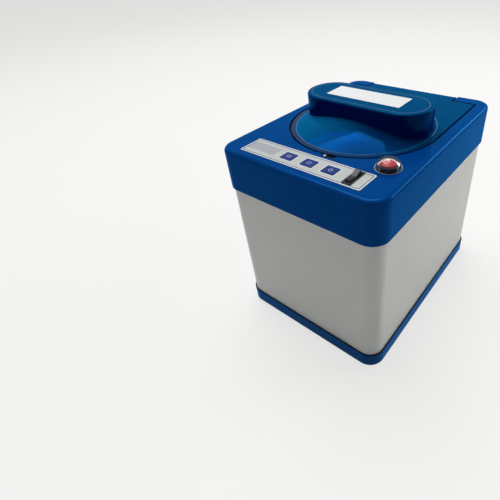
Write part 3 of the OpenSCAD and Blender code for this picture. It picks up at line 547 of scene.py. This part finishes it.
def rim_strip(bm, outer, inner):
    """Draws the lid's front rim between two radii, a little less than a half circle."""
    part = 0.96
    steps = 64
    start = math.pi * (1 + (1 - part) / 2)
    ends = [bm.verts.new((r * math.cos(start), LID_Y + r * math.sin(start), 0))
            for r in (outer, inner)]
    sweep(bm, bm.edges.new(ends), math.pi * part, steps)


def in_pod(point, grow):
    """True where a point lies in the gear housing's plan, grown by grow."""
    reach = max(abs(point.x) - (POD_W - POD_D) / 2, 0)
    return math.hypot(reach, point.y - POD_Y) < POD_D / 2 + grow


def in_seat(point, edge):
    """True where a point lies in the plan of the lid's seat of that half width."""
    round_front = math.hypot(point.x, point.y - LID_Y) < edge
    straight_back = point.y > LID_Y and abs(point.x) < edge
    return round_front or straight_back


class DISC_OT_case(bpy.types.Operator):
    """Finishes of the moulded case, the metal sleeve and the feet"""
    bl_idname = "disc.case"
    bl_label = "Case"

    def execute(self, context):
        finish = finish_of()
        dress("base_tray", glossed("tray_blue", shade(finish.case, TRAY_SHARE), rough=0.16,
                                   ior=1.34, gloss=finish.tray_gloss, grain=1900.0, bump=0.02))
        dress("top_cover", glossed("moulded_blue", finish.case, rough=0.14, ior=1.38,
                                   gloss=finish.case_gloss, grain=1900.0, bump=0.02))
        dress("case_sleeve",
              plastic("sleeve_coat", finish.sleeve, rough=0.42, vary=0.025, scale=26.0,
                      grain=2400.0, bump=0.22, depth=0.00003, spec=0.45))
        dress("rubber_feet lid_seal drive_belt",
              plastic("rubber", finish.rubber, rough=0.7, grain=1200.0, bump=0.35))
        # painted shade in the gaps round the lid and under the sleeve
        self.grooves(plastic("seat_painted_shade", finish.painted_seat_shade, rough=0.6, grain=1900.0, spec=0.1))
        return {"FINISHED"}

    def grooves(self, dark):
        """Paints shade on the tray's lip under the sleeve and on the narrow seat round the lid."""
        lip = highest("base_tray") - LIP_DEEP
        dress_part("base_tray", dark, lambda c, n: n.z > LOOKS_UP and c.z > lip)
        half = plan("lid_shell")[2] / 2
        seat = half + SEAT_GAP
        top = highest("top_cover")

        def seat_wall_painted(c, n):
            deep = top - SEAT_WALL_FOOT < c.z < top - SEAT_WALL_TOP and c.y < SEAT_BACK
            beside = in_seat(c, seat + SEAT_WALL_OUT) and not in_seat(c, half - SEAT_WALL_IN)
            return deep and beside and abs(n.z) < SEAT_WALL_TILT

        dress_part("top_cover", dark, seat_wall_painted)
        # a dark sheet of painted shade on the seat's ledge, under the lid's edge
        flat_piece("seat_shade", [(seat_strip, seat - SEAT_SHADE_IN, half - SEAT_SHADE_UNDER)],
                   top - SEAT_DOWN, SEAT_SHADE_UP, dark, "case")


class DISC_OT_lid(bpy.types.Operator):
    """Tinted lid with its gear housing, label, plates and gears"""
    bl_idname = "disc.lid"
    bl_label = "Lid"

    def execute(self, context):
        finish, size = finish_of(), sizes_of()
        top = highest("top_cover")
        self.shell(finish, top)
        self.lines(finish, size, top)
        dress("lid_label", plastic("label_film", finish.label, rough=0.35, vary=0.02, scale=18.0,
                                   grain=900.0, bump=0.05))
        dress("gear_plate_lower gear_plate_upper lid_magnet lid_catch",
              plastic("gear_plate", finish.gear_plate, rough=0.5, grain=1400.0, bump=0.3,
                      spec=0.05))
        dress("idler_left idler_right pad_gear_left pad_gear_right",
              plastic("acetal", finish.acetal, rough=0.45, grain=800.0))
        dress("polishing_pad_left polishing_pad_right", foam("pad_foam", finish.foam))
        return {"FINISHED"}

    def shell(self, finish, top):
        """The lid's flat parts, its clearer dome in painted light and shade, the housing's wall in
        painted shade.
        """
        tint, gloss = finish.tint, finish.lid_gloss
        dress("lid_shell", glossed("tinted_lid", finish.lid, tint, body=0.88, rough=0.10,
                                   ior=1.25, gloss=gloss))
        # the dome's colour turns from painted light on the left to painted shade on the right
        dome = glossed("tinted_dome", finish.dome, tint, body=0.34, rough=0.04, ior=1.2,
                       gloss=gloss, bump=0.0,
                       fade=(finish.dome_painted_shade, DOME_SHADE_FROM, DOME_SHADE_TO))
        # the housing's wall gets a darker body, painted shade
        side = glossed("tinted_side_painted_shade", finish.pod_wall_painted_shade, tint, body=0.93, rough=0.10, ior=1.3,
                       gloss=gloss)

        def on_dome(c, n):
            round_part = math.hypot(c.x, c.y - LID_Y) < DOME_R and c.z < top + DOME_UP
            return round_part and not in_pod(c, POD_WALL_OUT)

        def on_shaded_wall(c, n):
            wall = abs(n.z) < POD_WALL_TILT and c.z > top + POD_WALL_FOOT
            return wall and in_pod(c, POD_WALL_OUT) and not in_pod(c, -POD_WALL_IN)

        dress_part("lid_shell", dome, on_dome)
        dress_part("lid_shell", side, on_shaded_wall)

    def lines(self, finish, size, top):
        """The painted highlight line round the dome, the painted shade on the rim in front and the
        line on the housing.
        """
        line_r = DOME_R + size.dome_line_in
        # a light ring of painted highlight round the dome's foot
        flat_piece("dome_foot_highlight_line",
                   [(circle, 0, LID_Y, line_r + size.dome_line_w, DOME_SIDES),
                    (circle, 0, LID_Y, line_r, DOME_SIDES)],
                   top + LIFT, DOME_HIGHLIGHT_UP,
                   plastic("dome_foot_painted_highlight", finish.line, rough=0.25, vary=0.03), "lid")
        half = plan("lid_shell")[2] / 2
        # a dark sheet of painted shade on the lid's front rim
        flat_piece("rim_shade", [(rim_strip, half - size.rim_out, DOME_R + size.rim_in)],
                   top + LIFT, RIM_UP,
                   plastic("rim_painted_shade", finish.rim, rough=0.3, vary=0.03, spec=0.08,
                           gloss=finish.lid_gloss), "lid")
        flat_piece("pod_inner_line",
                   [(pod_outline, size.pod_line_in),
                    (pod_outline, size.pod_line_in + size.pod_line_w)],
                   highest("lid_shell"), POD_LINE_UP,
                   plastic("pod_line", shade(finish.lid, POD_LINE_SHARE), rough=0.25,
                           vary=0.03), "lid")


class DISC_OT_drive(bpy.types.Operator):
    """Bowl, turntable, shafts, motors and everything under the deck"""
    bl_idname = "disc.drive"
    bl_label = "Disc drive and inside"

    def execute(self, context):
        finish, size = finish_of(), sizes_of()
        dress("splash_bowl turntable",
              plastic("bowl_blue", finish.bowl, rough=0.30, vary=0.06, grain=1300.0, bump=0.01,
                      spec=0.2))
        dress("platter_mat", ribbed("mat_blue", finish.mat, size.rib_pitch))
        dress("chassis_plate power_supply",
              plastic("zinc_sheet", finish.zinc, rough=0.38, metal=1.0, scale=90.0, vary=0.12,
                      grain=700.0))
        dress("tie_screws panel_screws lid_screws hinge_pin spindle_shaft spindle_bearings "
              "chassis_pillars pad_shaft_left pad_shaft_right motor_pinion spray_nozzle",
              plastic("turned_steel", finish.steel, rough=0.28, metal=1.0, vary=0.05,
                      grain=2500.0, stretch=(1, 1, 6)))
        dress("spindle_housing",
              plastic("cast_alloy", finish.zinc, rough=0.5, metal=1.0, grain=1100.0, bump=0.4))
        dress("disc_motor pad_motor",
              plastic("motor_can", finish.motor, rough=0.33, metal=1.0, grain=1500.0))
        dress("water_tank", plastic("natural_tank", finish.tank, rough=0.5, grain=600.0))
        dress("water_pump driven_pulley motor_pulley display_module",
              plastic("dark_plastic", finish.dark, rough=0.5, grain=1200.0, bump=0.3))
        dress("water_tubes", glossed("clear_hose", finish.hose, finish.hose_tint, body=0.3))
        dress("control_board",
              plastic("solder_mask", finish.board, rough=0.35, scale=300.0, vary=0.25))
        return {"FINISHED"}


class DISC_OT_rear(bpy.types.Operator):
    """Mains inlet and fan at the back"""
    bl_idname = "disc.rear"
    bl_label = "Back"

    def execute(self, context):
        finish = finish_of()
        dress("mains_inlet fan_frame fan_rotor",
              plastic("black_moulding", finish.inlet, rough=0.42, grain=1500.0, bump=0.3))
        dress("inlet_pins",
              plastic("plated_brass", finish.brass, rough=0.25, metal=1.0, grain=2000.0))
        return {"FINISHED"}


class DISC_OT_panel(bpy.types.Operator):
    """Control panel: film, border lines, key outlines and plain key marks"""
    bl_idname = "disc.panel"
    bl_label = "Control panel"

    def execute(self, context):
        finish, size = finish_of(), sizes_of()
        white = plastic("print_white", finish.white, rough=0.45, vary=0.02)
        mark = plastic("key_mark", finish.mark, rough=0.45, vary=0.02)
        navy = plastic("print_navy", finish.navy, rough=0.40, vary=0.06, spec=0.12)
        dress("panel_overlay", plastic("panel_film", finish.panel, rough=0.42, vary=0.02,
                                       scale=22.0, grain=1600.0, bump=0.12))
        dress("display_window",
              plastic("display_glass", finish.display, rough=0.16, vary=0.03, scale=14.0,
                      grain=500.0, bump=0.03, coat=0.5, coat_rough=0.05))
        dress("key_left key_middle key_right", navy)
        dress("tact_switches start_switch switch_frame",
              plastic("switch_black", finish.switch, rough=0.35, grain=1500.0, bump=0.1,
                      spec=0.2))
        self.border(size, white, navy)
        marks = {"key_left": self.bars, "key_middle": self.square, "key_right": self.ring}
        for key, draw in marks.items():
            self.key_edge(key, size, white, navy)
            draw(key, size, mark)
        return {"FINISHED"}

    def border(self, size, white, navy):
        """The white border along the film's edge and the navy line inside it."""
        x, y, w, d = plan("panel_overlay")
        z = highest("panel_overlay")

        def inset(by, corner):
            return rounded, x, y, w - 2 * by, d - 2 * by, corner

        middle = size.border_in - size.border_w
        flat_piece("border_white", [inset(size.border_out, size.border_corner_out),
                                    inset(middle, size.border_corner)],
                   z, size.mark_up, white, "case")
        flat_piece("border_navy", [inset(middle + size.border_gap, size.border_corner),
                                   inset(size.border_in, size.border_corner_in)],
                   z, size.mark_up, navy, "case")

    def key_edge(self, key, size, white, navy):
        """A navy edge round a key, and a white outline round that."""
        x, y, w, d = plan(key)
        z = highest("panel_overlay")

        def grown(by, corner):
            return rounded, x, y, w - 2 * KEY_FLANGE + by, d - 2 * KEY_FLANGE + by, corner

        edge = grown(size.key_gap, size.key_corner)
        flat_piece("edge_" + key, [edge, grown(size.key_clear, size.key_hole_corner)],
                   z, size.edge_up, navy, "case")
        outline = grown(size.key_gap + 2 * size.outline_w, size.key_corner + size.outline_w)
        flat_piece("outline_" + key, [outline, edge], z, size.outline_up, white, "case")

    def bars(self, key, size, mark):
        """Three bars. Each is named by its height on the key in tenths of a millimetre, from 20."""
        x, y, _, _ = plan(key)
        for up in (size.bar_step, 0.0, -size.bar_step):
            flat_piece(f"mark_{key}_{round(10 * up + 20)}",
                       [(rounded, x, y + up, size.bar_l, size.mark_w, size.mark_corner)],
                       highest(key), size.mark_up, mark, key)

    def square(self, key, size, mark):
        """An open square."""
        x, y, _, _ = plan(key)
        w, hole = size.square_w, size.square_w - 2 * size.mark_w
        flat_piece("mark_" + key, [(rounded, x, y, w, w, size.square_corner),
                                   (rounded, x, y, hole, hole, size.mark_corner)],
                   highest(key), size.mark_up, mark, key)

    def ring(self, key, size, mark):
        """A ring with a short upright line in it."""
        x, y, _, _ = plan(key)
        flat_piece("mark_" + key, [(circle, x, y, size.ring_r),
                                   (circle, x, y, size.ring_r - size.mark_w)],
                   highest(key), size.mark_up, mark, key)
        flat_piece("mark_hand_" + key, [(rounded, x, y + size.hand_up, size.mark_w, size.hand_l,
                                         size.mark_corner)],
                   highest(key), size.mark_up, mark, key)


class DISC_OT_start(bpy.types.Operator):
    """Start button under its clear boot, and the power rocker"""
    bl_idname = "disc.start"
    bl_label = "Start button and power switch"

    def execute(self, context):
        finish, size = finish_of(), sizes_of()
        dress("start_button", plastic("button_red", finish.button, rough=0.25, vary=0.06,
                                      grain=900.0, bump=0.02, spec=0.2))
        dress("start_boot", glossed("clear_boot", finish.boot, finish.boot_tint, body=0.03,
                                    rough=0.015, ior=1.22, bump=0.0))
        dress("power_rocker", plastic("rocker_gloss", finish.rocker, rough=0.22, grain=900.0,
                                      bump=0.02, spec=0.22))
        x, y, w, _ = plan("start_boot")
        rim_in = w / 2 - size.boot_rim_w
        top = highest("top_cover")
        flat_piece("collar_shade", [(circle, x, y, rim_in - size.collar_gap),
                                    (circle, x, y, size.collar_in)],
                   top, COLLAR_UP,
                   plastic("collar_black", finish.collar, rough=0.3, spec=0.3), "case")
        # a light ring of painted highlight where the clear boot meets the cover
        flat_piece("boot_rim_highlight", [(circle, x, y, w / 2 + size.boot_rim_out),
                                (circle, x, y, rim_in)],
                   top, BOOT_RIM_HIGHLIGHT_UP, plastic("painted_highlight_clear_rim", finish.boot_edge, rough=0.2), "case")
        return {"FINISHED"}


def seen_ray(tree):
    """1 for a ray from the camera, or from gloss or glass, so that these show the background."""
    ray = put(tree, "ShaderNodeLightPath").outputs
    seen = ray["Is Camera Ray"]
    for kind in ("Is Glossy Ray", "Is Transmission Ray"):
        seen = put(tree, "ShaderNodeMath", {0: seen, 1: ray[kind]},
                   operation="MAXIMUM").outputs["Value"]
    return seen


class DISC_OT_studio(bpy.types.Operator):
    """Pale floor, soft studio light and the camera at the photograph's angle"""
    bl_idname = "disc.studio"
    bl_label = "Studio"

    def execute(self, context):
        scene = context.scene
        scene.view_settings.view_transform = "Standard"
        self.floor()
        self.world(scene)
        self.lamps(scene)
        self.camera(scene)
        return {"FINISHED"}

    def floor(self):
        """A wide sheet of pale paper that glows where it is seen, and keeps the shadow."""
        bm = bmesh.new()
        bmesh.ops.create_grid(bm, x_segments=8, y_segments=8, size=FLOOR_HALF)
        floor = to_object("floor", bm)
        m = Finish("floor_paper")
        tone = m.mix(m.ramp(m.noise(3.0), 0, 1), PAPER_DARK, PAPER_LIGHT)
        paper = m.add("ShaderNodeBsdfDiffuse", {"Color": tone})
        glow = m.add("ShaderNodeEmission", {"Color": rgba(PAPER_GLOW)})
        share = m.add("ShaderNodeMath", {0: seen_ray(m.tree), 1: GLOW_SHARE},
                      operation="MULTIPLY")
        floor.data.materials.append(m.done(m.layer(
            share.outputs["Value"], paper.outputs["BSDF"], glow.outputs["Emission"])))

    def world(self, scene):
        """A weak fill light all round, and a pale backdrop where it is seen."""
        world = bpy.data.worlds.new("studio")
        scene.world = world
        world.use_nodes = True
        tree = world.node_tree
        tree.nodes.clear()
        fill = put(tree, "ShaderNodeBackground", {"Color": rgba(FILL), "Strength": FILL_LEVEL})
        back = put(tree, "ShaderNodeBackground", {"Color": rgba(BACKDROP), "Strength": 1.0})
        mixed = put(tree, "ShaderNodeMixShader", {
            "Fac": seen_ray(tree), 1: fill.outputs["Background"], 2: back.outputs["Background"]})
        put(tree, "ShaderNodeOutputWorld", {"Surface": mixed.outputs["Shader"]})

    def lamps(self, scene):
        """Soft boxes, each turned to the point that it aims at."""
        for lamp in LAMPS:
            light = bpy.data.lights.new(lamp.name, "AREA")
            light.shape = "RECTANGLE"
            light.size, light.size_y = lamp.size
            light.energy = lamp.watts
            light.color = lamp.tint
            stand = bpy.data.objects.new(lamp.name, light)
            scene.collection.objects.link(stand)
            stand.location = lamp.at
            aim = Vector(lamp.aim) - Vector(lamp.at)
            stand.rotation_euler = aim.to_track_quat("-Z", "Y").to_euler()

    def camera(self, scene):
        """The camera, shifted so that the machine lies where it does in the picture."""
        lens = bpy.data.cameras.new("camera")
        lens.sensor_width = SENSOR
        lens.lens = FOCAL / PICTURE * SENSOR
        lens.shift_x = (PICTURE / 2 - CENTRE_X - HALF_PIXEL) / PICTURE
        lens.shift_y = (CENTRE_Y + HALF_PIXEL - PICTURE / 2) / PICTURE
        lens.clip_start, lens.clip_end = SEEN_FROM, SEEN_TO
        camera = bpy.data.objects.new("camera", lens)
        scene.collection.objects.link(camera)
        right, down, ahead = (Vector(v) for v in (CAMERA_RIGHT, CAMERA_DOWN, CAMERA_AHEAD))
        turn = Matrix((right, -down, -ahead)).transposed()
        camera.matrix_world = Matrix.Translation(Vector(CAMERA_AT) * MM) @ turn.to_4x4()
        scene.camera = camera


class DISC_PT_panel(bpy.types.Panel):
    """Sidebar panel with one button per group, and the colours and sizes"""
    bl_idname = "DISC_PT_panel"
    bl_label = "Disc repair machine"
    bl_space_type = "VIEW_3D"
    bl_region_type = "UI"
    bl_category = "Disc machine"

    def draw(self, context):
        for operator in OPERATORS:
            self.layout.operator(operator.bl_idname)
        for kind, group in ((DiscFinish, context.scene.disc_finish),
                            (DiscSize, context.scene.disc_size)):
            for key in kind.__annotations__:
                self.layout.prop(group, key)


OPERATORS = (DISC_OT_case, DISC_OT_lid, DISC_OT_drive, DISC_OT_rear, DISC_OT_panel,
             DISC_OT_start, DISC_OT_studio)
CLASSES = (DiscFinish, DiscSize, *OPERATORS, DISC_PT_panel)


def register():
    for kind in CLASSES:
        bpy.utils.register_class(kind)
    bpy.types.Scene.disc_finish = bpy.props.PointerProperty(type=DiscFinish)
    bpy.types.Scene.disc_size = bpy.props.PointerProperty(type=DiscSize)


def unregister():
    del bpy.types.Scene.disc_finish
    del bpy.types.Scene.disc_size
    for kind in reversed(CLASSES):
        bpy.utils.unregister_class(kind)


def main():
    register()
    bpy.ops.disc.case()
    bpy.ops.disc.lid()
    bpy.ops.disc.drive()
    bpy.ops.disc.rear()
    bpy.ops.disc.panel()
    bpy.ops.disc.start()
    bpy.ops.disc.studio()


if __name__ == "__main__":
    main()
